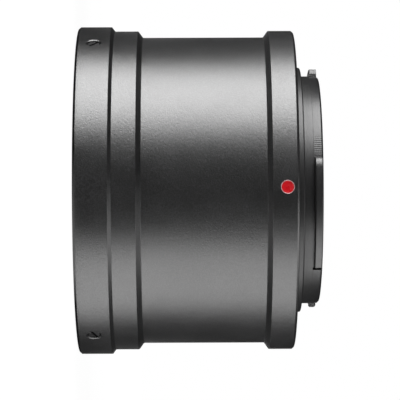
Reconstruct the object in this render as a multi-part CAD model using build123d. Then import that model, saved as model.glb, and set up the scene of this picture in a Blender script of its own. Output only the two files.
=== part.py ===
from build123d import *
import math
import os

# A T-mount adapter: a turned housing that clamps a T2 thread ring in its front
# and carries a three-lug camera bayonet on its rear. Sizes are in millimetres.
# The optical axis is Z. The front face lies at z = 0 and the bayonet points to
# +Z. Angles about the axis are measured from +X towards +Y, in degrees, and the
# red index dot looks to -Y.

# Registers: from the T2 seat, and from the camera's mount face, to the image plane
t2_register = 55.00
camera_register = 19.25

# Housing, outside
front_wall = 3.05
front_land = 5.35
front_drop = 0.7
second_land = 3.77
flange_rise = 1.05
flange_wall = 1.45
flange_land = 4.07
slope_angle = 54.3
front_corner_chamfer = 0.35
flange_corner_chamfer = 0.35

# Housing, inside
ring_shoulder = 2.0
rear_bore_margin = 0.4
rear_bore_length = 3.5

# Light trap: a saw-toothed bore whose short steep faces look to the lens
light_trap_teeth = 3
light_trap_depth = 0.5
light_trap_face = 0.45
light_trap_land = 1.0

# T2 ring: M42 x 0.75 inside, a V groove for the set screws outside
t2_thread_dia = 42.0
t2_pitch = 0.75
t2_ring_wall = 2.5
t2_ring_length = 6.4
t2_lead_in = 0.5
v_groove_depth = 0.85
ring_clearance = 0.05
ring_end_play = 0.05

# Set screws: slotted, with a cone point in the ring's groove
set_screw_dia = 2.0
set_screw_z = 2.8
set_screw_angles = (90.0, 210.0, 330.0)
set_screw_slot_turns = (15.0, 49.0, 118.0)
set_screw_recess = 0.22
set_screw_slot_width = 0.32
set_screw_slot_depth = 0.7
set_screw_point_radius = 0.15
set_screw_flank_gap = 0.08
hole_mouth_chamfer = 0.18
thread_clearance = 0.02

# Bayonet
plate_thickness = 2.6
plate_clearance = 0.05
step_ledge = 1.4
step_height = 1.1
collar_dia = 37.0
collar_height = 2.95
lug_height = 1.15
lug_standoff = 1.45
lug_thickness = 1.3
lug_spans = ((260.0, 309.5), (137.0, 186.5), (15.0, 64.5))
lug_ramp_length = 1.4
lug_rear_chamfer = 0.25
lug_root_depth = 0.1
collar_chamfer = 0.3
collar_wall = 1.75

# Lock pin hole in the bayonet plate
lock_hole_dia = 2.4
lock_hole_depth = 1.9
lock_hole_angle = 0.0

# Countersunk screws that hold the bayonet plate
plate_screw_dia = 2.0
plate_screw_head_dia = 3.6
plate_screw_length = 5.0
plate_screw_margin = 0.45
plate_screw_angles = (45.0, 135.0, 225.0, 315.0)
plate_screw_hole_clearance = 0.1
plate_screw_seat_gap = 0.04
plate_screw_end_gap = 0.5

# Index dot
dot_dia = 2.0
dot_angle = 270.0
dot_inset = 1.85
dot_hole_depth = 0.75
dot_clearance = 0.02
dot_rise = 0.12

# Heights along the axis
reference_z = t2_register - camera_register
rear_face_z = reference_z - step_height
plate_seat_z = rear_face_z - plate_thickness
dot_z = rear_face_z - dot_inset
ring_seat_z = t2_ring_length + ring_end_play
lug_front_z = reference_z + lug_standoff
lug_rear_z = lug_front_z + lug_thickness
collar_end_z = reference_z + collar_height

# Radii at the front end, outward from the thread to the front band
t2_ring_r = t2_thread_dia / 2 + t2_ring_wall
v_groove_floor_r = t2_ring_r - v_groove_depth
ring_seat_r = t2_ring_r + ring_clearance
front_r = ring_seat_r + front_wall
second_r = front_r - front_drop
bore_r = t2_ring_r - ring_shoulder

# Radii at the rear end, outward from the collar to the flange
collar_r = collar_dia / 2
lug_r = collar_r + lug_height
aperture_r = collar_r - collar_wall
step_r = collar_r + step_ledge
rear_bore_r = step_r - rear_bore_margin
plate_screw_circle_r = step_r + plate_screw_head_dia / 2 + plate_screw_margin
plate_r = plate_screw_circle_r + plate_screw_head_dia / 2 + plate_screw_margin
recess_r = plate_r + plate_clearance
flange_r = recess_r + flange_wall
tube_r = flange_r - flange_rise

# A 60 degree thread's bore is its major diameter less this share of the pitch
THREAD_BORE_SHARE = 1.0825
t2_bore_r = (t2_thread_dia - THREAD_BORE_SHARE * t2_pitch) / 2

# How far a cutting body runs past the surface that it opens
OVERRUN = 1.0


def turned(points):
    """Solid of revolution about Z from the (radius, z) points of its section."""
    outline = make_face(Polyline(*points, close=True))
    return revolve(Plane.XZ * outline, Axis.Z)


def polar(radius, angle, z=0.0):
    """Point at a radius and an angle about the optical axis."""
    turn = math.radians(angle)
    return (radius * math.cos(turn), radius * math.sin(turn), z)


def outward(angle, radius, z):
    """Plane at a point of the wall, with its local Z pointing straight out from the axis."""
    return Plane(origin=polar(radius, angle, z), x_dir=(0, 0, 1), z_dir=polar(1, angle))


def drilled(radius, depth):
    """Cutter for a plain hole that runs down from the local origin."""
    return Pos(0, 0, OVERRUN) * Cylinder(radius, depth + OVERRUN,
                                         align=(Align.CENTER, Align.CENTER, Align.MAX))


def chamfered_hole(radius, depth, mouth_chamfer):
    """Cutter for a hole with a chamfered mouth that runs down from the local origin."""
    mouth_r = radius + mouth_chamfer
    return turned([(0, -depth), (radius, -depth), (radius, -mouth_chamfer), (mouth_r, 0),
                   (mouth_r, OVERRUN), (0, OVERRUN)])


def slope(rise):
    """Length along the axis that a sloped shoulder takes for its change in radius."""
    return abs(rise) / math.tan(math.radians(slope_angle))


def light_trap(bottom, top):
    """Section of the toothed bore, from its top down: each tooth has a steep face and a long flank."""
    pitch = (top - bottom) / light_trap_teeth
    section = [(bore_r, top)]
    for tooth in reversed(range(light_trap_teeth)):
        start = bottom + tooth * pitch
        section += [(bore_r + light_trap_depth, start + pitch - light_trap_face), (bore_r, start)]
    return section


def make_barrel():
    """One turned piece: two front bands, the tube, the rear flange and the stepped bore."""
    second_start = front_land + slope(front_drop)
    second_end = second_start + second_land
    flange_start = rear_face_z - flange_land
    tube_start = second_end + slope(second_r - tube_r)
    tube_end = flange_start - slope(flange_rise)
    taper_top = plate_seat_z - rear_bore_length
    taper_bottom = taper_top - abs(bore_r - rear_bore_r)
    front_band = [(ring_seat_r, 0), (front_r - front_corner_chamfer, 0), (front_r, front_corner_chamfer),
                  (front_r, front_land)]
    second_band = [(second_r, second_start), (second_r, second_end)]
    tube = [(tube_r, tube_start), (tube_r, tube_end)]
    flange = [(flange_r, flange_start), (flange_r, rear_face_z - flange_corner_chamfer),
              (flange_r - flange_corner_chamfer, rear_face_z)]
    plate_recess = [(recess_r, rear_face_z), (recess_r, plate_seat_z), (rear_bore_r, plate_seat_z)]
    light_bore = [(rear_bore_r, taper_top), *light_trap(ring_seat_z + light_trap_land, taper_bottom)]
    ring_seat = [(bore_r, ring_seat_z), (ring_seat_r, ring_seat_z)]
    barrel = turned(front_band + second_band + tube + flange + plate_recess + light_bore + ring_seat)

    screw_hole = chamfered_hole(set_screw_dia / 2 + thread_clearance, front_r - ring_seat_r + OVERRUN,
                                hole_mouth_chamfer)
    for angle in set_screw_angles:
        barrel -= outward(angle, front_r, set_screw_z) * screw_hole
    barrel -= outward(dot_angle, flange_r, dot_z) * drilled(dot_dia / 2 + dot_clearance, dot_hole_depth)
    tapped_hole = drilled(plate_screw_dia / 2 + thread_clearance,
                          plate_screw_length - plate_thickness + plate_screw_end_gap)
    for angle in plate_screw_angles:
        barrel -= Pos(*polar(plate_screw_circle_r, angle, plate_seat_z)) * tapped_hole
    return barrel


def make_t2_ring():
    """Threaded ring: a plain bore at the thread's inner diameter and a V groove round its outside."""
    lead_r = t2_bore_r + t2_lead_in
    return turned([(t2_bore_r, t2_lead_in), (lead_r, 0), (t2_ring_r, 0),
                   (t2_ring_r, set_screw_z - v_groove_depth), (v_groove_floor_r, set_screw_z),
                   (t2_ring_r, set_screw_z + v_groove_depth), (t2_ring_r, t2_ring_length),
                   (t2_bore_r, t2_ring_length)])


def make_set_screw(angle, slot_turn):
    """Slotted screw with a cone point, standing outward from the ring's groove."""
    radius = set_screw_dia / 2
    tip_r = v_groove_floor_r + set_screw_point_radius + set_screw_flank_gap
    length = front_r - set_screw_recess - tip_r
    point_r = set_screw_point_radius
    body = turned([(0, 0), (point_r, 0), (radius, radius - point_r), (radius, length), (0, length)])
    slot = Box(set_screw_dia + OVERRUN, set_screw_slot_width, 2 * set_screw_slot_depth)
    body -= Pos(0, 0, length) * Rot(0, 0, slot_turn) * slot
    return outward(angle, tip_r, set_screw_z) * body


def lug_sector(start, end):
    """Prism of one lug, seen along the axis: the full height from start to end, and a ramp at each end."""
    ramp = math.degrees(lug_ramp_length / collar_r)
    root_r = collar_r - lug_root_depth
    rim = ThreePointArc(polar(lug_r, start), polar(lug_r, (start + end) / 2), polar(lug_r, end))
    root = ThreePointArc(polar(root_r, end + ramp), polar(root_r, (start + end) / 2),
                         polar(root_r, start - ramp))
    sides = [Line(polar(lug_r, end), polar(collar_r, end + ramp)),
             Line(polar(collar_r, end + ramp), polar(root_r, end + ramp)),
             Line(polar(root_r, start - ramp), polar(collar_r, start - ramp)),
             Line(polar(collar_r, start - ramp), polar(lug_r, start))]
    face = make_face([rim, *sides[:2], root, *sides[2:]])
    return Pos(0, 0, lug_front_z) * extrude(face, lug_thickness)


def make_bayonet_mount():
    """Plate, reference step, collar with its three lugs, and the light aperture."""
    root_r = collar_r - lug_root_depth
    body = turned([(aperture_r, plate_seat_z), (plate_r, plate_seat_z), (plate_r, rear_face_z),
                   (step_r, rear_face_z), (step_r, reference_z), (collar_r, reference_z),
                   (collar_r, collar_end_z - collar_chamfer), (collar_r - collar_chamfer, collar_end_z),
                   (aperture_r, collar_end_z)])
    lug_ring = turned([(root_r, lug_front_z), (lug_r, lug_front_z), (lug_r, lug_rear_z - lug_rear_chamfer),
                       (lug_r - lug_rear_chamfer, lug_rear_z), (root_r, lug_rear_z)])
    for start, end in lug_spans:
        body += lug_sector(start, end) & lug_ring

    for angle in plate_screw_angles:
        body -= Pos(*polar(plate_screw_circle_r, angle, rear_face_z)) * countersink()
    lock_hole = drilled(lock_hole_dia / 2, lock_hole_depth)
    body -= Pos(*polar(plate_screw_circle_r, lock_hole_angle, rear_face_z)) * lock_hole
    return body


def countersink():
    """Cutter for a plate screw's hole, with a 90 degree seat that clears the head by the seat gap."""
    hole_r = plate_screw_dia / 2 + plate_screw_hole_clearance
    seat_r = plate_screw_head_dia / 2 + plate_screw_seat_gap
    return turned([(0, -plate_thickness - OVERRUN), (hole_r, -plate_thickness - OVERRUN),
                   (hole_r, hole_r - seat_r), (seat_r + OVERRUN, OVERRUN), (0, OVERRUN)])


def make_plate_screw(angle):
    """Countersunk screw with a 90 degree head, level with the plate's rear face."""
    shank_r = plate_screw_dia / 2
    head_r = plate_screw_head_dia / 2
    screw = turned([(0, -plate_screw_length), (shank_r, -plate_screw_length), (shank_r, shank_r - head_r),
                    (head_r, 0), (0, 0)])
    return Pos(*polar(plate_screw_circle_r, angle, rear_face_z)) * screw


def make_index_dot():
    """Red bead with a low crown, seated on the floor of its hole in the flange."""
    radius = dot_dia / 2
    crown = dot_hole_depth + dot_rise / 2
    bead = turned([(0, 0), (radius, 0), (radius, crown - dot_rise), (radius / 2, crown), (0, crown)])
    return outward(dot_angle, flange_r - dot_hole_depth, dot_z) * bead


def make_parts():
    """Every sub-part under the name of its node."""
    parts = {
        "barrel": make_barrel(),
        "t2_ring": make_t2_ring(),
        "bayonet_mount": make_bayonet_mount(),
        "index_dot": make_index_dot(),
    }
    for number, (angle, slot_turn) in enumerate(zip(set_screw_angles, set_screw_slot_turns), 1):
        parts[f"set_screw_{number}"] = make_set_screw(angle, slot_turn)
    for number, angle in enumerate(plate_screw_angles, 1):
        parts[f"bayonet_screw_{number}"] = make_plate_screw(angle)
    return parts


os.makedirs("parts", exist_ok=True)
for node, shape in make_parts().items():
    export_step(shape, f"parts/{node}.step")
    print(f"{node}: {len(shape.solids())} solid, {shape.volume:.1f} mm3")
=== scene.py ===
import bpy
import bmesh
import math
from mathutils import Matrix, Vector


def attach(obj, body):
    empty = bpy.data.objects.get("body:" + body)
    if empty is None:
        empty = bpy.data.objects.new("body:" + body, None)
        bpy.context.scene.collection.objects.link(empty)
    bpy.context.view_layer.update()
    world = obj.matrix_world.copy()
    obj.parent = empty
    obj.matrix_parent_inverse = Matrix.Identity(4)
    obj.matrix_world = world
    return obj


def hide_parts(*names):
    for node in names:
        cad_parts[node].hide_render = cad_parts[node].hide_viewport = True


# The looks of a T-mount adapter. Lengths are millimetres and MM turns them into metres; only
# the shaders measure in metres. The optical axis is Z, the bayonet points up, and the red
# index dot looks to -Y. Angles about the axis run from +X towards +Y, in degrees.

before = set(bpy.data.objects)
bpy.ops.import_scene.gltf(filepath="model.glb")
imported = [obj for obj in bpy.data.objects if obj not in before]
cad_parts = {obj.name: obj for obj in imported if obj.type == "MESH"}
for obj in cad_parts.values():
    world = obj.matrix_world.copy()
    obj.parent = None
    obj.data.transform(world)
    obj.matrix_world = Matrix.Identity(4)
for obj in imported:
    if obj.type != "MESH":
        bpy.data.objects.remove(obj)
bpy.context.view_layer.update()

MM = 0.001

# Sides of a turned shape
ROUND = 360
THREAD_ROUND = 240
DOT_ROUND = 96
FLOOR_ROUND = 96
SMALL_ROUND = 64

# Heights along the axis
SET_SCREW_Z = 2.8
FRONT_BAND_END_Z = 5.35
RING_STOP_Z = 6.45
TRAP_BOTTOM_Z = 7.45
TRAP_TOP_Z = 26.55
REAR_BORE_Z = 28.55
PLATE_SEAT_Z = 32.05
DOT_Z = 32.8
REAR_FACE_Z = 34.65
REFERENCE_Z = 35.75
COLLAR_STEP_Z = 37.2
LUG_FACE_Z = 37.33
LUG_REAR_Z = 38.5
COLLAR_END_Z = 38.7

# Lengths along the axis
RING_LENGTH = 6.4
SECOND_BAND_LENGTH = 3.77
FLANGE_LENGTH = 4.07

# Radii
FRONT_R = 26.6
SECOND_R = 25.9
TUBE_R = 24.85
FLANGE_R = 25.9
RECESS_R = 24.45
PLATE_R = 24.4
RING_SEAT_R = 23.55
RING_R = 23.5
GROOVE_R = 22.65
PLATE_CIRCLE_R = 22.15
BORE_R = 21.5
STEP_R = 19.9
LUG_R = 19.65
REAR_BORE_R = 19.5
COLLAR_R = 18.5
APERTURE_R = 16.75
SET_SCREW_R = 0.98
SET_SCREW_HOLE_R = 1.02
PIN_HOLE_R = 1.2
DOT_HOLE_R = 1.02
DOT_R = 0.94

# The M42 x 0.75 thread
THREAD_PITCH = 0.75
THREAD_MINOR_R = 20.594
THREAD_MAJOR_R = 21.0
THREAD_LEAD_R = 21.094

# Places about the axis
SET_SCREW_ANGLES = (90.0, 210.0, 330.0)
SET_SCREW_TURNS = (15.0, 49.0, 118.0)
PLATE_SCREW_ANGLES = (45.0, 135.0, 225.0, 315.0)
PLATE_SCREW_TURN = 17
PIN_ANGLE = 0
DOT_ANGLE = 270

# Each lug's two ends as angle and ramp, the chamfer of its front edge and the round of its
# rear edge. A ramp is the length of a quarter round, or (distance, share of the height) points.
LUGS = (((260.4, 1.8), (309.5, 0.35), 0.18, 0.10),
        ((137.0, 1.4), (182.5, ((0.72, 0.44), (0.86, 0.0))), 0.08, 0.06),
        ((11.3, ((0.06, 0.0),)), (64.5, 1.4), 0.18, 0.40))


# Mesh tools

def polar(radius, angle, z):
    """The point at a radius and an angle, in radians, about Z."""
    return (radius * math.cos(angle), radius * math.sin(angle), z)


def rounded(corners, closed=True):
    """(radius, z) points of an outline whose corners (radius, z, fillet) are rounded."""
    least_turn, step, most_of_side = math.radians(3), math.radians(22), 0.49
    points = []
    count = len(corners)
    for i, (r, z, fillet) in enumerate(corners):
        here = Vector((r, z))
        if fillet <= 0 or (not closed and i in (0, count - 1)):
            points.append(here)
            continue
        before = Vector(corners[i - 1][:2]) - here
        after = Vector(corners[(i + 1) % count][:2]) - here
        room = min(before.length, after.length) * most_of_side
        before.normalize()
        after.normalize()
        half = math.acos(max(-1.0, min(1.0, before.dot(after)))) / 2
        turn = math.pi - 2 * half
        if turn < least_turn:
            points.append(here)
            continue
        reach = min(fillet / math.tan(half), room)
        radius = reach * math.tan(half)
        centre = here + (before + after).normalized() * (radius / math.sin(half))
        start, end = here + before * reach - centre, here + after * reach - centre
        steps = max(2, math.ceil(turn / step))
        side = 1 if start.x * end.y - start.y * end.x > 0 else -1
        for k in range(steps + 1):
            a = side * turn * k / steps
            points.append(centre + Vector((start.x * math.cos(a) - start.y * math.sin(a),
                                           start.x * math.sin(a) + start.y * math.cos(a))))
    return [(p.x, p.y) for p in points]


def make_object(name, bm):
    """A mesh object in metres from a bmesh in millimetres, with its faces turned outward."""
    bmesh.ops.recalc_face_normals(bm, faces=bm.faces)
    bmesh.ops.scale(bm, vec=(MM, MM, MM), verts=bm.verts)
    mesh = bpy.data.meshes.new(name)
    bm.to_mesh(mesh)
    bm.free()
    thing = bpy.data.objects.new(name, mesh)
    bpy.context.scene.collection.objects.link(thing)
    return thing


def circle(bm, radius, z, sides):
    """New vertices round Z."""
    return [bm.verts.new(polar(radius, 2 * math.pi * k / sides, z)) for k in range(sides)]


def bridge(bm, low, high):
    """Faces between two circles of vertices. Either may be a single point on the axis."""
    sides = max(len(low), len(high))
    if sides == 1:
        return
    for k in range(sides):
        n = (k + 1) % sides
        if len(low) == 1:
            bm.faces.new((low[0], high[n], high[k]))
        elif len(high) == 1:
            bm.faces.new((low[k], low[n], high[0]))
        else:
            bm.faces.new((low[k], low[n], high[n], high[k]))


def turned(name, points, closed=True, sides=ROUND, place=None):
    """A solid of revolution about local Z. place maps it into the frame, in millimetres."""
    on_axis = 1e-6
    bm = bmesh.new()
    circles = [[bm.verts.new((0, 0, z))] if r < on_axis else circle(bm, r, z, sides)
               for r, z in points]
    for low, high in zip(circles, circles[1:]):
        bridge(bm, low, high)
    if closed:
        bridge(bm, circles[-1], circles[0])
    if place is not None:
        bmesh.ops.transform(bm, matrix=place, verts=bm.verts)
    return make_object(name, bm)


def solid(name, points, faces, place=None):
    """A closed mesh from points in millimetres and their faces."""
    bm = bmesh.new()
    verts = [bm.verts.new(p) for p in points]
    for face in faces:
        bm.faces.new([verts[i] for i in face])
    if place is not None:
        bmesh.ops.transform(bm, matrix=place, verts=bm.verts)
    return make_object(name, bm)


def swept(name, sections):
    """A closed mesh through a row of sections, each with the same number of points."""
    rows = len(sections[0])
    faces = []
    for s in range(len(sections) - 1):
        for k in range(rows):
            n = (k + 1) % rows
            faces.append((s * rows + k, (s + 1) * rows + k, (s + 1) * rows + n, s * rows + n))
    faces.append(tuple(range(rows)))
    tail = (len(sections) - 1) * rows
    faces.append(tuple(tail + k for k in reversed(range(rows))))
    return solid(name, [point for section in sections for point in section], faces)


def box_at(name, size, centre, place, taper=1.0):
    """A block in millimetres. taper is the share of its width that is left at its lower end."""
    x, y, z = (s / 2 for s in size)
    cx, cy, cz = centre
    points = []
    for sz in (-1, 1):
        share = taper if sz < 0 else 1
        points += [(cx + sx * x * share, cy + sy * y * share, cz + sz * z)
                   for sx, sy in ((-1, -1), (1, -1), (1, 1), (-1, 1))]
    faces = [(3, 2, 1, 0), (4, 5, 6, 7), (0, 1, 5, 4), (1, 2, 6, 5), (2, 3, 7, 6), (3, 0, 4, 7)]
    return solid(name, points, faces, place)


def combine(thing, others, operation="DIFFERENCE"):
    """Cuts others out of thing, or joins them to it, and removes them."""
    for other in others:
        modifier = thing.modifiers.new("combine", "BOOLEAN")
        modifier.operation = operation
        modifier.object = other
        modifier.solver = "EXACT"
    bpy.context.view_layer.update()
    evaluated = thing.evaluated_get(bpy.context.evaluated_depsgraph_get())
    made = bpy.data.meshes.new_from_object(evaluated)
    thing.modifiers.clear()
    thing.data = made
    for other in others:
        bpy.data.objects.remove(other)
    return thing


def smooth(thing, angle=28):
    """Smooth shading between the sharp edges, led by the large faces."""
    thing.data.shade_smooth()
    thing.data.set_sharp_from_angle(angle=math.radians(angle))
    modifier = thing.modifiers.new("normals", "WEIGHTED_NORMAL")
    modifier.keep_sharp = True
    modifier.weight = 100
    return thing


def outward(angle, radius, z):
    """Matrix that puts a local origin on a wall, its Z pointing out and its X along the axis."""
    out = Vector(polar(1, math.radians(angle), 0))
    along = Vector((0, 0, 1))
    side = out.cross(along)
    turn = Matrix((along, side, out)).transposed().to_4x4()
    return Matrix.Translation(out * radius + Vector((0, 0, z))) @ turn


def upright(radius, angle, z):
    """Matrix that puts a local origin at a point of the rear face, its Z along the axis."""
    return Matrix.Translation(polar(radius, math.radians(angle), z))


def turn_by(angle):
    """Matrix that turns about local Z."""
    return Matrix.Rotation(math.radians(angle), 4, "Z")


# Material tools

def new_material(name):
    """A material with one principled shader, its node tree and that shader."""
    material = bpy.data.materials.new(name)
    material.use_nodes = True
    tree = material.node_tree
    tree.nodes.clear()
    output = tree.nodes.new("ShaderNodeOutputMaterial")
    shader = tree.nodes.new("ShaderNodeBsdfPrincipled")
    tree.links.new(shader.outputs[0], output.inputs["Surface"])
    return material, tree, shader


def node(tree, kind, links=None, **settings):
    """A node with its settings and its inputs. An input is a value or another node's socket."""
    made = tree.nodes.new(kind)
    for key, value in settings.items():
        setattr(made, key, value)
    for key, value in (links or {}).items():
        socket = made.inputs[key]
        if isinstance(value, bpy.types.NodeSocket):
            tree.links.new(value, socket)
        else:
            socket.default_value = value
    return made


def math_node(tree, operation, a, b=0.0):
    return node(tree, "ShaderNodeMath", {0: a, 1: b}, operation=operation).outputs[0]


def product(tree, value, *factors):
    for factor in factors:
        value = math_node(tree, "MULTIPLY", value, factor)
    return value


def mixed(tree, *parts):
    """The sum of (value, weight) parts."""
    total, *others = [product(tree, value, weight) for value, weight in parts]
    for part in others:
        total = math_node(tree, "ADD", total, part)
    return total


def object_place(tree):
    """The point on the object and its three coordinates."""
    where = node(tree, "ShaderNodeTexCoord").outputs["Object"]
    return where, *node(tree, "ShaderNodeSeparateXYZ", {0: where}).outputs


def noise(tree, where, scale, detail=2.0, roughness=0.5):
    return node(tree, "ShaderNodeTexNoise", {"Vector": where, "Scale": scale, "Detail": detail,
                                             "Roughness": roughness}).outputs[0]


def band(tree, value, low, high, out_low=0.0, out_high=1.0):
    """Carries the span from low to high over to out_low to out_high, and holds it outside."""
    return node(tree, "ShaderNodeMapRange", {"Value": value, "From Min": low, "From Max": high,
                                             "To Min": out_low, "To Max": out_high},
                clamp=True).outputs[0]


def ramp(tree, value, stops):
    """A colour between (place, colour) stops."""
    made = node(tree, "ShaderNodeValToRGB", {"Fac": value})
    elements = made.color_ramp.elements
    while len(elements) < len(stops):
        elements.new(0.5)
    for element, (place, colour) in zip(elements, stops):
        element.position = place
        element.color = (*colour, 1)
    return made.outputs[0]


# The bump's depth on the anodised pieces at a height of one, in metres
BUMP_DEPTH = 0.00002
# The cutter's chatter: where it sets in along the axis, in metres, and where it sets in and
# ends about the axis, in radians. The phase is for each radian.
CHATTER_Z = (0.0372, 0.0374)
CHATTER_START = (-2.06, -2.0)
CHATTER_END = (-1.86, -1.84)
CHATTER_PHASE = 338.0


def anodised(name, dark, light, rough, ior, grain, turning,
             rough_rear=None, reach=(0.002, 0.018), chatter=0.0):
    """Black anodised aluminium: blasted grain, faint turning marks, mottled dye and small pits.

    The roughness runs from rough to rough_rear over the heights in reach. chatter is the depth
    of the cutter's marks on the collar just before the lug that faces the view."""
    material, tree, shader = new_material(name)
    where, x, y, z = object_place(tree)
    radius = math_node(tree, "SQRT", math_node(tree, "ADD", math_node(tree, "POWER", x, 2.0),
                                               math_node(tree, "POWER", y, 2.0)))
    rings = node(tree, "ShaderNodeCombineXYZ", {0: radius, 1: 0.0, 2: z}).outputs[0]
    coarse = noise(tree, where, scale=2600, detail=3.0, roughness=0.55)
    fine = noise(tree, where, scale=7000, detail=2.0, roughness=0.6)
    patches = noise(tree, where, scale=120, detail=3.0, roughness=0.6)
    dye = noise(tree, where, scale=4800, detail=1.0, roughness=0.5)
    marks = noise(tree, rings, scale=9000, detail=2.0, roughness=0.6)
    cells = node(tree, "ShaderNodeTexVoronoi", {"Vector": where, "Scale": 2400.0})
    pits = band(tree, cells.outputs["Distance"], 0.08, 0.34, 1.0, 0.0)

    tone = mixed(tree, (patches, 0.3), (dye, 0.7))
    tree.links.new(ramp(tree, tone, [(0.42, dark), (0.64, light)]), shader.inputs["Base Color"])
    spread, mean = mixed(tree, (coarse, 0.10), (patches, 0.08)), 0.09
    level = band(tree, z, *reach, rough, rough_rear or rough)
    tree.links.new(math_node(tree, "ADD", math_node(tree, "SUBTRACT", spread, mean), level),
                   shader.inputs["Roughness"])
    shader.inputs["IOR"].default_value = ior

    height = mixed(tree, (coarse, grain * 0.45), (fine, grain * 0.5), (marks, turning),
                   (pits, grain * -0.18))
    if chatter:
        angle = math_node(tree, "ARCTAN2", y, x)
        zone = product(tree, band(tree, angle, *CHATTER_START),
                       band(tree, angle, *CHATTER_END, 1.0, 0.0),
                       band(tree, z, *CHATTER_Z, 0.0, chatter))
        wave = math_node(tree, "SINE", product(tree, angle, CHATTER_PHASE))
        height = math_node(tree, "ADD", height, product(tree, wave, zone))
    bump = node(tree, "ShaderNodeBump", {"Strength": 1.0, "Distance": BUMP_DEPTH,
                                         "Height": height})
    tree.links.new(bump.outputs[0], shader.inputs["Normal"])
    return material


def mottled(name, scale, detail, dark, light, rough, metallic=0.0, ior=1.5, bump=None):
    """A finish whose colour and roughness wander with one fine noise.

    rough is the span of the roughness, and bump the strength and depth of the same noise."""
    material, tree, shader = new_material(name)
    where = node(tree, "ShaderNodeTexCoord").outputs["Object"]
    tone = noise(tree, where, scale, detail)
    low, high = 0.3, 0.7
    tree.links.new(ramp(tree, tone, [(low, dark), (high, light)]), shader.inputs["Base Color"])
    tree.links.new(band(tree, tone, low, high, *rough), shader.inputs["Roughness"])
    shader.inputs["Metallic"].default_value = metallic
    shader.inputs["IOR"].default_value = ior
    if bump:
        strength, depth = bump
        made = node(tree, "ShaderNodeBump", {"Strength": strength, "Distance": depth,
                                             "Height": tone})
        tree.links.new(made.outputs[0], shader.inputs["Normal"])
    return material


def paint(thing, *materials):
    """Gives a piece its material slots."""
    thing.data.materials.clear()
    for material in materials:
        thing.data.materials.append(material)
    return thing


# Camera: the photograph's place, level with the part and square to its axis. The part's axis
# runs to the right in the picture.

scene = bpy.context.scene
VIEW_DISTANCE = 366.5
VIEW_HEIGHT = 18.3
VIEW_TURN = math.radians(1.04)
VIEW_ROLL = math.radians(-0.2)


def make_camera():
    """The photograph's view through a long lens. Only the clip distances are metres."""
    data = bpy.data.cameras.new("camera")
    camera = bpy.data.objects.new("camera", data)
    scene.collection.objects.link(camera)
    scene.camera = camera
    data.sensor_width, data.lens = 36.0, 201.96
    data.shift_x, data.shift_y = 0.019, -0.0245
    data.clip_start, data.clip_end = 0.01, 20.0
    back = Vector((math.sin(VIEW_TURN), -math.cos(VIEW_TURN), 0))
    right = Matrix.Rotation(VIEW_ROLL, 3, back) @ Vector((0, 0, 1))
    up = back.cross(right)
    place = (back * VIEW_DISTANCE + Vector((0, 0, VIEW_HEIGHT))) * MM
    camera.matrix_world = (Matrix.Translation(place)
                           @ Matrix((right, up, back)).transposed().to_4x4())


make_camera()


# Light: a broad soft lamp on each side of the view, and a smaller one above

SOFTBOX_DISTANCE = 450
SOFTBOX_HEIGHT = 240
SOFTBOX_CENTRE_Z = 110


def area_lamp(name, width, height, radiance, matrix):
    data = bpy.data.lights.new(name, "AREA")
    data.shape = "RECTANGLE"
    data.size = width * MM
    data.size_y = height * MM
    data.energy = radiance * math.pi * width * height * MM * MM
    lamp = bpy.data.objects.new(name, data)
    lamp.matrix_world = matrix
    scene.collection.objects.link(lamp)


def softbox(name, angle, width, radiance):
    """A soft lamp at an angle round the axis from the view, aimed square at the axis."""
    a = math.radians(angle)
    out = Vector((math.sin(a), -math.cos(a), 0))
    up = Vector((0, 0, 1))
    place = (out * SOFTBOX_DISTANCE + Vector((0, 0, SOFTBOX_CENTRE_Z))) * MM
    area_lamp(name, width, SOFTBOX_HEIGHT, radiance,
              Matrix.Translation(place) @ Matrix((up.cross(out), up, out)).transposed().to_4x4())


def overhead(name, place, size, radiance):
    """A square soft lamp above the part, aimed at it."""
    spot = Vector(place) * MM
    area_lamp(name, size, size, radiance,
              Matrix.Translation(spot) @ spot.to_track_quat("Z", "Y").to_matrix().to_4x4())


softbox("key", angle=-70.5, width=430, radiance=8.8)
softbox("fill", angle=68, width=500, radiance=3.3)
overhead("top", place=(180, -60, 430), size=240, radiance=3.0)


# Background and floor

WHITE = (1, 1, 1, 1)


def background_rays(tree, behind):
    """Share of the white background in a ray: all of it to the camera, behind in a mirror."""
    path = tree.nodes.new("ShaderNodeLightPath").outputs
    mirrored = math_node(tree, "MAXIMUM", path["Is Glossy Ray"], path["Is Transmission Ray"])
    return math_node(tree, "MAXIMUM", path["Is Camera Ray"], product(tree, mirrored, behind))


def make_world():
    """White behind the part, and a dim room all round it."""
    world = bpy.data.worlds.new("studio")
    scene.world = world
    world.use_nodes = True
    tree = world.node_tree
    tree.nodes.clear()
    direction = node(tree, "ShaderNodeTexCoord").outputs["Generated"]
    straight = node(tree, "ShaderNodeSeparateXYZ", {0: direction}).outputs[1]
    share = background_rays(tree, band(tree, straight, 0.975, 0.992))
    seen = node(tree, "ShaderNodeBackground", {"Color": WHITE, "Strength": 1.0})
    room = node(tree, "ShaderNodeBackground", {"Color": WHITE, "Strength": 0.015})
    mix = node(tree, "ShaderNodeMixShader", {0: share, 1: room.outputs[0], 2: seen.outputs[0]})
    tree.links.new(mix.outputs[0], node(tree, "ShaderNodeOutputWorld").inputs["Surface"])


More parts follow.
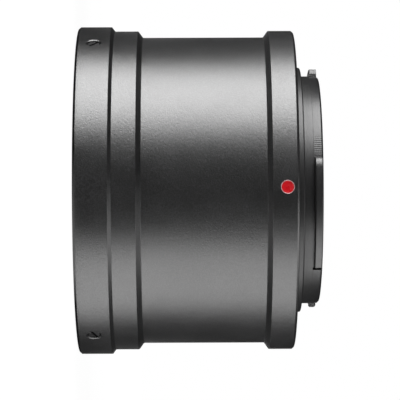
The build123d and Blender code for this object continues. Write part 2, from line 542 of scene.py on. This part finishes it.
def make_floor():
    """White paper that gives off most of its own white, so the lamps stay low.

    Mirrored in the part it shows as a satin sheet, with a painted shadow right at the part's rim
    (a near-black sheet that only reflections see), a painted reflection beside the rim on the +X
    side (a patch that glows white in reflections only) and the white background far behind."""
    bm = bmesh.new()
    bmesh.ops.create_circle(bm, cap_ends=True, segments=FLOOR_ROUND, radius=420)
    floor = make_object("floor", bm)
    material, tree, paper = new_material("floor_paper")
    where, x, y, _ = object_place(tree)
    tone = noise(tree, where, scale=40, detail=3.0)
    tree.links.new(ramp(tree, tone, [(0.3, (0.78, 0.78, 0.78)), (0.7, (0.82, 0.82, 0.82))]),
                   paper.inputs["Base Color"])
    paper.inputs["Roughness"].default_value = 0.8
    satin = node(tree, "ShaderNodeBsdfPrincipled", {"Base Color": (0.95, 0.95, 0.95, 1),
                                                    "Metallic": 1.0, "Roughness": 0.2})
    # Painted shadow: a near-black sheet that reflections see right at the part's rim, standing in
    # for the shade where the part meets the floor.
    dark = node(tree, "ShaderNodeBsdfDiffuse", {"Color": (0.02, 0.02, 0.02, 1)})
    glow = node(tree, "ShaderNodeEmission", {"Color": WHITE, "Strength": 1.1})

    distance = node(tree, "ShaderNodeVectorMath", {0: where}, operation="LENGTH").outputs["Value"]
    clear_of_rim = band(tree, distance, 0.0268, 0.030)
    painted_rim_shadow = math_node(tree, "SUBTRACT", 1.0, clear_of_rim)
    # Painted reflection: a patch beside the rim on the +X side that glows white in reflections
    # only, to light the part's low rounded corner. behind carries it with the white backdrop far
    # behind.
    painted_glint_patch = product(tree, band(tree, x, -0.006, 0.010), band(tree, x, 0.013, 0.018, 1.0, 0.0),
                   band(tree, distance, 0.028, 0.032, 1.0, 0.0))
    behind = math_node(tree, "MAXIMUM", band(tree, y, 0.2, 0.3), painted_glint_patch)
    own_white = band(tree, distance, 0.10, 0.20, 0.86, 1.0)

    glossy = tree.nodes.new("ShaderNodeLightPath").outputs["Is Glossy Ray"]
    most = 0.95
    mix = paper
    for share, shader in ((product(tree, glossy, painted_rim_shadow), dark),
                          (product(tree, glossy, clear_of_rim, most), satin),
                          (product(tree, background_rays(tree, behind), own_white), glow)):
        mix = node(tree, "ShaderNodeMixShader",
                   {0: share, 1: mix.outputs[0], 2: shader.outputs[0]})
    output = next(n for n in tree.nodes if n.type == "OUTPUT_MATERIAL")
    tree.links.new(mix.outputs[0], output.inputs["Surface"])
    paint(floor, material)


make_world()
scene.view_settings.view_transform = "Standard"
make_floor()


# Materials

housing_black = anodised("housing_black", dark=(0.0002, 0.0002, 0.0002),
                         light=(0.020, 0.020, 0.021), rough=0.354, rough_rear=0.392,
                         ior=1.9, grain=1.8, turning=0.12)
bayonet_black = anodised("bayonet_black", dark=(0.014, 0.014, 0.0145),
                         light=(0.022, 0.022, 0.0225), rough=0.41, rough_rear=0.34,
                         reach=(0.0363, 0.0385), ior=1.6, grain=0.4, turning=0.7, chatter=0.5)
lug_black = anodised("lug_black", dark=(0.014, 0.014, 0.0145), light=(0.024, 0.024, 0.0245),
                     rough=0.37, ior=1.75, grain=0.3, turning=1.6)
ring_black = anodised("ring_black", dark=(0.016, 0.016, 0.017), light=(0.026, 0.026, 0.027),
                      rough=0.38, ior=1.9, grain=0.5, turning=0.3)
screw_steel = mottled("screw_steel", scale=3000, detail=3.0, dark=(0.05, 0.05, 0.05),
                      light=(0.11, 0.11, 0.112), rough=(0.3, 0.46), metallic=0.85,
                      bump=(0.6, 0.00001))
index_red = mottled("index_red", scale=1800, detail=2.0, dark=(0.60, 0.008, 0.014),
                    light=(0.68, 0.012, 0.020), rough=(0.26, 0.34), ior=1.45)
bare_rim = mottled("bare_rim", scale=5000, detail=2.0, dark=(0.60, 0.36, 0.36),
                   light=(0.76, 0.48, 0.50), rough=(0.34, 0.44), metallic=0.35)


# Housing

def slope(rise):
    """Length of the cone between two bands whose radii differ by rise."""
    return rise / math.tan(math.radians(54.3))


def light_trap(bottom, top, teeth=3, depth=0.5, face=0.45, ridge_pitch=0.42, ridge_depth=0.13):
    """Outline of the toothed bore from its top down, with fine ridges along the long flanks."""
    pitch = (top - bottom) / teeth
    flank = pitch - face
    ridges = int(flank / ridge_pitch)
    outline = []
    for tooth in reversed(range(teeth)):
        start = bottom + tooth * pitch
        outline.append((BORE_R + depth, start + flank, 0.04))
        for k in reversed(range(ridges)):
            low = start + (k + 0.25) * flank / ridges
            high = start + (k + 0.8) * flank / ridges
            outline.append((BORE_R + depth * (high - start) / flank + ridge_depth, high, 0.02))
            outline.append((BORE_R + depth * (low - start) / flank, low, 0.02))
        outline.append((BORE_R, start, 0.03))
    return outline


def make_barrel():
    """The turned housing, with the set screws' holes and the dot's hole cut into it."""
    second_start = FRONT_BAND_END_Z + slope(FRONT_R - SECOND_R)
    second_end = second_start + SECOND_BAND_LENGTH
    tube_start = second_end + slope(SECOND_R - TUBE_R)
    flange_start = REAR_FACE_Z - FLANGE_LENGTH
    tube_end = flange_start - slope(FLANGE_R - TUBE_R)
    edge, inner = 0.12, 0.22
    bevel_z, bevel_r = 0.36, 0.30
    outline = [(RING_SEAT_R, 0, 0.06), (FRONT_R - bevel_r, 0, 0.25), (FRONT_R, bevel_z, 0.06),
               (FRONT_R, FRONT_BAND_END_Z, edge), (SECOND_R, second_start, 0.18),
               (SECOND_R, second_end, edge), (TUBE_R, tube_start, inner),
               (TUBE_R, tube_end, inner), (FLANGE_R, flange_start, edge),
               (FLANGE_R, REAR_FACE_Z - bevel_z, 0.06), (FLANGE_R - bevel_r, REAR_FACE_Z, 0.25),
               (RECESS_R, REAR_FACE_Z, 0.05), (RECESS_R, PLATE_SEAT_Z, 0),
               (REAR_BORE_R, PLATE_SEAT_Z, 0.05), (REAR_BORE_R, REAR_BORE_Z, 0.05),
               (BORE_R, TRAP_TOP_Z, 0.05)]
    outline += light_trap(TRAP_BOTTOM_Z, TRAP_TOP_Z)
    outline += [(BORE_R, RING_STOP_Z, 0.05), (RING_SEAT_R, RING_STOP_Z, 0)]
    barrel = turned("barrel_body", rounded(outline))

    # Both kinds of hole start past the wall and have a wider mouth
    depth, mouth, mouth_depth, past = 4.2, 0.24, 0.14, 0.25
    hole_r = SET_SCREW_HOLE_R
    hole = rounded([(0, -depth, 0), (hole_r, -depth, 0), (hole_r, -mouth_depth, 0.08),
                    (hole_r + mouth, 0, 0.05), (hole_r + mouth + 2 * past, past, 0),
                    (0, past, 0)], closed=False)
    cutters = [turned(f"cut_{i}", hole, closed=False, sides=SMALL_ROUND,
                      place=outward(angle, FRONT_R, SET_SCREW_Z))
               for i, angle in enumerate(SET_SCREW_ANGLES)]

    depth, mouth, mouth_depth, past = 0.75, 0.10, 0.10, 0.4
    hole_r = DOT_HOLE_R
    pocket = rounded([(0, -depth, 0), (hole_r, -depth, 0.05), (hole_r, -mouth_depth, 0.02),
                      (hole_r + mouth, 0.01, 0), (hole_r + mouth, past, 0), (0, past, 0)],
                     closed=False)
    cutters.append(turned("cut_dot", pocket, closed=False, sides=SMALL_ROUND,
                          place=outward(DOT_ANGLE, FLANGE_R, DOT_Z)))
    return smooth(combine(barrel, cutters))


barrel = paint(make_barrel(), housing_black)
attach(barrel, "housing")
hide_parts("barrel")


# Bayonet

def sector(name, low_r, high_r, low_z, high_z, start, end):
    """A curved block about the axis between two angles."""
    degrees_a_step = 1.5
    steps = max(2, round((end - start) / degrees_a_step))
    corners = ((low_r, low_z), (high_r, low_z), (high_r, high_z), (low_r, high_z))
    angles = [math.radians(start + (end - start) * k / steps) for k in range(steps + 1)]
    return swept(name, [[polar(r, a, z) for r, z in corners] for a in angles])


def ramp_down(form):
    """(degrees past the lug's end, share of its height) down a ramp."""
    if isinstance(form, (int, float)):
        steps = 10
        turns = [math.radians(90 * k / steps) for k in range(1, steps + 1)]
        form = [(form * math.sin(t), max(0.0, math.cos(t))) for t in turns]
    return [(math.degrees(way / COLLAR_R), share) for way, share in form]


def lug(index, first, last, chamfer, rear_round):
    """One lug as a curved block with a ramp at each end and a small chamfer at its front."""
    start, end = first[0], last[0]
    # The block's foot is inside the collar, and its ramps fall to just under the collar's face
    root, low = COLLAR_R - 0.35, COLLAR_R - 0.1
    section = rounded([(root, LUG_FACE_Z, 0), (LUG_R - chamfer, LUG_FACE_Z, 0.03),
                       (LUG_R, LUG_FACE_Z + chamfer, 0.03), (LUG_R, LUG_REAR_Z, rear_round),
                       (root, LUG_REAR_Z, 0)], closed=False)
    middle = max(2, round(end - start))
    stations = [(start - turn, share) for turn, share in reversed(ramp_down(first[1]))]
    stations += [(start + (end - start) * k / middle, 1.0) for k in range(middle + 1)]
    stations += [(end + turn, share) for turn, share in ramp_down(last[1])]
    sections = [[polar(low + (r - low) * share if r > low else r, math.radians(angle), z)
                 for r, z in section] for angle, share in stations]
    block = paint(swept(f"lug_{index}", sections), bayonet_black, lug_black)
    for face in block.data.polygons:
        face.material_index = 1
    return block


def make_bayonet():
    """The plate, its reference step, the collar and the lugs as one piece, with its holes."""
    collar_step, rear_z, rear_r = 0.06, 0.26, 0.32
    outline = [(APERTURE_R, PLATE_SEAT_Z, 0.1), (PLATE_R, PLATE_SEAT_Z, 0.1),
               (PLATE_R, REAR_FACE_Z, 0.12), (STEP_R, REAR_FACE_Z, 0.08),
               (STEP_R, REFERENCE_Z, 0.24), (COLLAR_R, REFERENCE_Z, 0.08),
               (COLLAR_R, COLLAR_STEP_Z, 0.02), (COLLAR_R - collar_step, COLLAR_STEP_Z, 0.02),
               (COLLAR_R - collar_step, COLLAR_END_Z - rear_z, 0.04),
               (COLLAR_R - rear_r, COLLAR_END_Z, 0.04), (APERTURE_R, COLLAR_END_Z, 0.12)]
    # Fine turned grooves down the aperture, each with a short and a long flank
    groove_z, last_z, groove_pitch = COLLAR_END_Z - 0.9, PLATE_SEAT_Z + 1.0, 0.65
    groove_depth, short, width = 0.25, 0.2, 0.5
    while groove_z > last_z:
        outline += [(APERTURE_R, groove_z, 0.03), (APERTURE_R + groove_depth, groove_z - short, 0),
                    (APERTURE_R, groove_z - width, 0.03)]
        groove_z -= groove_pitch
    plate = paint(turned("bayonet_body", rounded(outline)), bayonet_black, lug_black)
    combine(plate, [lug(i, *form) for i, form in enumerate(LUGS)], "UNION")

    # Countersunk seats of the plate screws, then the hole for the camera's lock pin
    seat = rounded([(0, -4, 0), (1.1, -4, 0), (1.1, -0.89, 0), (1.82, -0.17, 0.02),
                    (1.82, -0.03, 0.02), (1.9, 0.06, 0), (1.9, 0.3, 0), (0, 0.3, 0)],
                   closed=False)
    cutters = [turned(f"seat_{i}", seat, closed=False, sides=SMALL_ROUND,
                      place=upright(PLATE_CIRCLE_R, angle, REAR_FACE_Z))
               for i, angle in enumerate(PLATE_SCREW_ANGLES)]
    depth, mouth, past = 1.9, 0.2, 0.1
    pin = rounded([(0, -depth, 0), (PIN_HOLE_R, -depth, 0.1), (PIN_HOLE_R, -mouth, 0.05),
                   (PIN_HOLE_R + mouth, 0, 0.04), (PIN_HOLE_R + mouth + past, past, 0),
                   (0, past, 0)], closed=False)
    cutters.append(turned("pin", pin, closed=False, sides=SMALL_ROUND,
                          place=upright(PLATE_CIRCLE_R, PIN_ANGLE, REAR_FACE_Z)))

    # Cutter's relief along the front of the lug that faces the view, and round its lower end
    low_z, high_r = LUG_FACE_Z - 0.16, COLLAR_R + 0.05
    side_r, end_r = COLLAR_R - 0.30, COLLAR_R - 0.45
    start, corner, end = 258.5, 312.0, 314.2
    cutters.append(sector("relief_side", side_r, high_r, low_z, LUG_FACE_Z, start, end))
    cutters.append(sector("relief_end", end_r, high_r, low_z, LUG_REAR_Z, corner, end))
    return smooth(combine(plate, cutters))


bayonet = make_bayonet()
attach(bayonet, "housing")
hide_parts("bayonet_mount")


# T2 ring with its thread

def make_ring():
    """The ring as one skin: the helical thread in the bore, then the rear, outside and front."""
    # One turn of the thread as (height above the turn's start, radius)
    form = [(0.0, THREAD_MINOR_R), (0.11, THREAD_MINOR_R),
            (0.42, THREAD_MAJOR_R), (0.51, THREAD_MAJOR_R)]
    turns = range(-2, math.ceil(RING_LENGTH / THREAD_PITCH) + 1)
    rows = [(turn * THREAD_PITCH + rise, radius) for turn in turns for rise, radius in form]
    bm = bmesh.new()
    columns = []
    for k in range(THREAD_ROUND):
        column = []
        for z, radius in rows:
            height = min(max(z + THREAD_PITCH * k / THREAD_ROUND, 0.0), RING_LENGTH)
            r = max(radius, THREAD_LEAD_R - height, THREAD_LEAD_R - (RING_LENGTH - height))
            column.append(bm.verts.new(polar(r, 2 * math.pi * k / THREAD_ROUND, height)))
        columns.append(column)
    for k in range(THREAD_ROUND):
        here, there = columns[k], columns[(k + 1) % THREAD_ROUND]
        # After a full turn a row meets the one that starts a pitch higher
        shift = len(form) if k == THREAD_ROUND - 1 else 0
        for i in range(len(rows) - 1 - shift):
            bm.faces.new((here[i], there[i + shift], there[i + 1 + shift], here[i + 1]))

    groove = RING_R - GROOVE_R
    shell = rounded([(THREAD_LEAD_R, RING_LENGTH, 0), (RING_R, RING_LENGTH, 0.2),
                     (RING_R, SET_SCREW_Z + groove, 0.05), (GROOVE_R, SET_SCREW_Z, 0.05),
                     (RING_R, SET_SCREW_Z - groove, 0.05), (RING_R, 0, 0.12),
                     (THREAD_LEAD_R, 0, 0)], closed=False)
    circles = [circle(bm, r, z, THREAD_ROUND) for r, z in shell]
    for low, high in zip(circles, circles[1:]):
        bridge(bm, low, high)
    bmesh.ops.remove_doubles(bm, verts=bm.verts, dist=0.0005)
    return smooth(make_object("t2_ring_body", bm))


ring = paint(make_ring(), ring_black)
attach(ring, "t2_ring")
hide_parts("t2_ring")


# Set screws and plate screws

def make_set_screw(number, angle, turn):
    """A slotted set screw whose cone point stands in the ring's groove."""
    flat, gap, sunk = 0.15, 0.08, 0.22
    tip_r = GROOVE_R + flat + gap
    length = FRONT_R - sunk - tip_r
    place = outward(angle, tip_r, SET_SCREW_Z)
    points = rounded([(0, 0, 0), (flat, 0, 0), (SET_SCREW_R, SET_SCREW_R - flat, 0.05),
                      (SET_SCREW_R, length, 0.12), (0, length, 0)], closed=False)
    screw = turned(f"set_screw_{number}_body", points, closed=False, sides=SMALL_ROUND,
                   place=place)
    slot = box_at("slot", (2.6, 0.34, 1.5), (0, 0, length + 0.05), place @ turn_by(turn))
    return smooth(combine(screw, [slot]))


for number, (angle, turn) in enumerate(zip(SET_SCREW_ANGLES, SET_SCREW_TURNS), 1):
    screw = paint(make_set_screw(number, angle, turn), screw_steel)
    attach(screw, f"set_screw_{number}")
    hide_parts(f"set_screw_{number}")


def make_plate_screw(number, angle):
    """A countersunk screw. Each one's cross recess stands at its own angle."""
    place = (upright(PLATE_CIRCLE_R, angle, REAR_FACE_Z)
             @ turn_by(angle + PLATE_SCREW_TURN * number))
    sunk, shank_r, head_r = -0.02, 1.0, 1.8
    points = rounded([(0, -5, 0), (0.55, -5, 0), (shank_r, -4.5, 0), (shank_r, -0.95, 0.1),
                      (head_r, -0.15, 0.03), (head_r, sunk, 0.05), (0, sunk, 0)], closed=False)
    screw = turned(f"bayonet_screw_{number}_body", points, closed=False, sides=SMALL_ROUND,
                   place=place)
    cross = [box_at(f"arm_{k}", (2.1, 0.42, 1.9), (0, 0, 0.02), place @ turn_by(90 * k),
                    taper=0.45)
             for k in range(2)]
    return smooth(combine(screw, cross))


for number, angle in enumerate(PLATE_SCREW_ANGLES, 1):
    screw = paint(make_plate_screw(number, angle), screw_steel)
    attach(screw, "housing")
    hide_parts(f"bayonet_screw_{number}")


# Index dot and its bare rim

def make_dot():
    """The enamel bead, dished towards its middle."""
    steps, dish_z, dish_rise, steepness = 12, -0.17, 0.11, 2.5
    foot_z, foot_r, side_z = -0.75, 0.9, -0.72
    points = [(0, foot_z), (foot_r, foot_z), (DOT_R, side_z)]
    points += [(DOT_R * k / steps, dish_z + dish_rise * (k / steps) ** steepness)
               for k in range(steps, 0, -1)]
    points.append((0, dish_z))
    return smooth(turned("index_bead", points, closed=False, sides=DOT_ROUND,
                         place=outward(DOT_ANGLE, FLANGE_R, DOT_Z)))


dot = paint(make_dot(), index_red)
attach(dot, "housing")
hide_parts("index_dot")


def make_rim():
    """The bright edge of metal round the bead."""
    points = rounded([(DOT_R, -0.25, 0), (DOT_R, -0.045, 0.01), (0.975, -0.03, 0.01),
                      (1.06, -0.035, 0.02), (DOT_HOLE_R, -0.25, 0)])
    return smooth(turned("index_rim", points, sides=DOT_ROUND,
                         place=outward(DOT_ANGLE, FLANGE_R, DOT_Z)))


rim = paint(make_rim(), bare_rim)
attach(rim, "housing")
